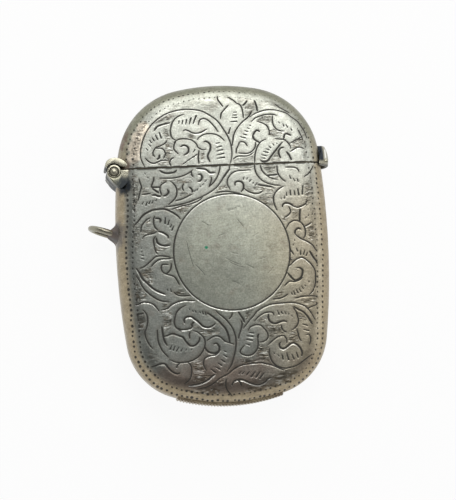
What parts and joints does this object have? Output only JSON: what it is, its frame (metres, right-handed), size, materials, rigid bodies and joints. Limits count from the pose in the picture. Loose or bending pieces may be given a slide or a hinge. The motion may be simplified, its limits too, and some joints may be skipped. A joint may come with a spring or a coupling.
{
  "type": "vesta case",
  "caption": "Pocket match case of thin silver with rounded corners, a side-hinged lid, a thumbpiece, a ribbed striker on the base and a small fixed loop on the hinge side.",
  "frame": {"origin": "centre of the outline on the flat back face, which lies down", "axes": "+Z out of the engraved front, +Y towards the lid, +X towards the thumbpiece; the hinge is on the -X side"},
  "size_m": [0.0379, 0.0497, 0.0095],
  "materials": {
    "engraved_silver": "worn satin silver with engraved scrolls, dark in the cuts",
    "inner_silver": "smooth, faintly gilt",
    "striker_silver": "ribbed, dull",
    "hinge_silver": "worn bright on the edges, blue-grey in the corners",
    "pin_silver": "domed rivet heads, worn smooth",
    "loop_silver": "worn wire",
    "solder": "dull grey lead solder, lumpy"
  },
  "bodies": {
    "case": {"body_front_shell": "engraved_silver", "body_back_shell": "engraved_silver", "mouth_collar": "inner_silver", "striker_plate": "striker_silver", "body_knuckle_front": "hinge_silver", "body_knuckle_back": "hinge_silver", "body_hinge_bearer": "hinge_silver", "hinge_pin": "pin_silver", "suspension_loop": "loop_silver", "loop_solder": "solder"},
    "lid": {"lid_front_shell": "engraved_silver", "lid_back_shell": "engraved_silver", "lid_knuckle": "hinge_silver", "lid_hinge_hood": "hinge_silver", "thumbpiece": "hinge_silver"}
  },
  "joints": [
    {"name": "lid_hinge", "type": "hinge", "parent": "case", "child": "lid", "pos_m": [-0.01635, 0.0116, 0.00475], "axis": [0, 0, 1], "range_deg": [0, 90]}
  ]
}
